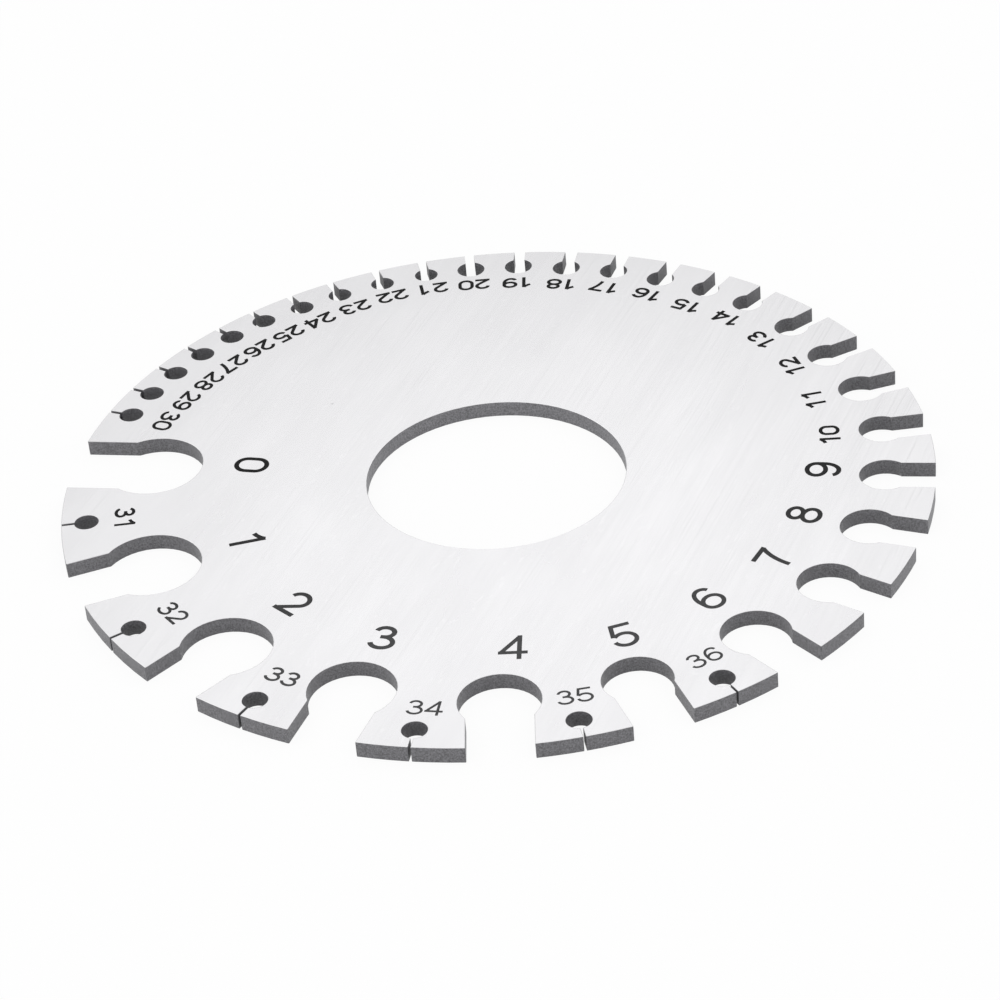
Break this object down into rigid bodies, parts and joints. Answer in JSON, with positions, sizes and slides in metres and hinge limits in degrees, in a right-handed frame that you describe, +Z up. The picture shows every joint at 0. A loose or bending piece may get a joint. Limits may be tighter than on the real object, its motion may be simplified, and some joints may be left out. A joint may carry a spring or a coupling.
{
  "type": "wire gauge plate",
  "caption": "Flat round steel gauge plate with a large centre hole and a ring of graded keyhole slots at the rim, for finding the gauge of a wire or sheet by trying it in the slots.",
  "frame": {"origin": "centre of the centre hole, on the underside that the plate lies on", "axes": "+Z up out of the marked face, -X along the slot of gauge 0"},
  "size_m": [0.0828, 0.083, 0.0016],
  "materials": {
    "plate_steel": "bright brushed faces, grey matt cut walls, dark marked numbers"
  },
  "bodies": {
    "root": {"plate": "plate_steel"}
  },
  "joints": []
}
